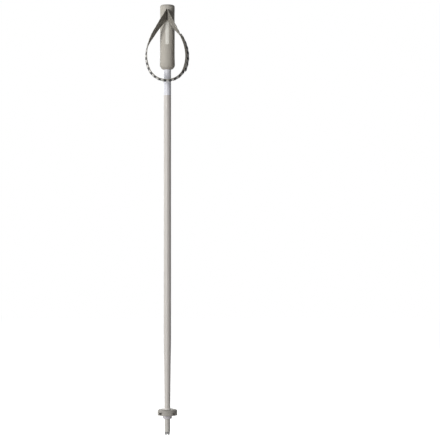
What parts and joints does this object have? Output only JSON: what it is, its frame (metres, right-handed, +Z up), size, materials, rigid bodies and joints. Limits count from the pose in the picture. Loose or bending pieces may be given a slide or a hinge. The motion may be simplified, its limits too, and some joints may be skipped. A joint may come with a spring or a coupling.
{
  "type": "ski pole",
  "caption": "Fixed-length alpine ski pole: tapered shaft, straight oval grip with a looped wrist strap, small push-on basket and a crown tip.",
  "frame": {"origin": "origin on the shaft's axis at the level of the four points of the tip", "axes": "+Z up the shaft from the tip to the grip, -Y the side of the grip where the strap comes out, +X to the right when that side faces the viewer"},
  "size_m": [0.107, 0.0716, 1.05],
  "materials": {
    "shaft_lacquer": "satin warm light grey lacquer on drawn aluminium",
    "band_foil": "pale cool white foil",
    "hard_plastic": "off-white moulded plastic",
    "soft_grip": "matt beige-grey soft-touch moulding",
    "cap_plastic": "matt beige-grey moulded plastic",
    "pin_steel": "plain steel",
    "strap_webbing": "woven webbing, beige-grey inside, off-white and black outside",
    "ferrule_plastic": "warm light grey moulded plastic",
    "tip_steel": "hardened steel, ground at the points",
    "hub_plastic": "off-white moulded plastic",
    "basket_plastic": "beige-grey moulded plastic"
  },
  "bodies": {
    "pole": {"shaft_tube": "shaft_lacquer", "shaft_band": "band_foil", "grip_core": "hard_plastic", "grip_shell": "soft_grip", "strap_anchor": "strap_webbing", "ferrule": "ferrule_plastic", "tip_insert": "tip_steel"},
    "cap": {"top_cap": "cap_plastic", "strap_pin": "pin_steel"},
    "strap": {"strap_loop": "strap_webbing", "strap_overlay": "strap_webbing"},
    "basket_hub": {"hub_bush": "hub_plastic", "hub_ring": "hub_plastic"},
    "basket": {"basket": "basket_plastic"}
  },
  "joints": [
    {"name": "cap_lift", "type": "slide", "parent": "pole", "child": "cap", "axis": [0, 0, 1], "range_m": [0, 0.045]},
    {"name": "strap_swing", "type": "hinge", "parent": "pole", "child": "strap", "pos_m": [0, -0.0205, 1.02475], "axis": [-1, 0, 0], "range_deg": [0, 120]},
    {"name": "basket_pull_off", "type": "slide", "parent": "pole", "child": "basket_hub", "axis": [0, 0, -1], "range_m": [0, 0.07]},
    {"name": "basket_spin", "type": "hinge", "parent": "basket_hub", "child": "basket", "pos_m": [0, 0, 0.055], "axis": [0, 0, 1], "continuous": true}
  ]
}
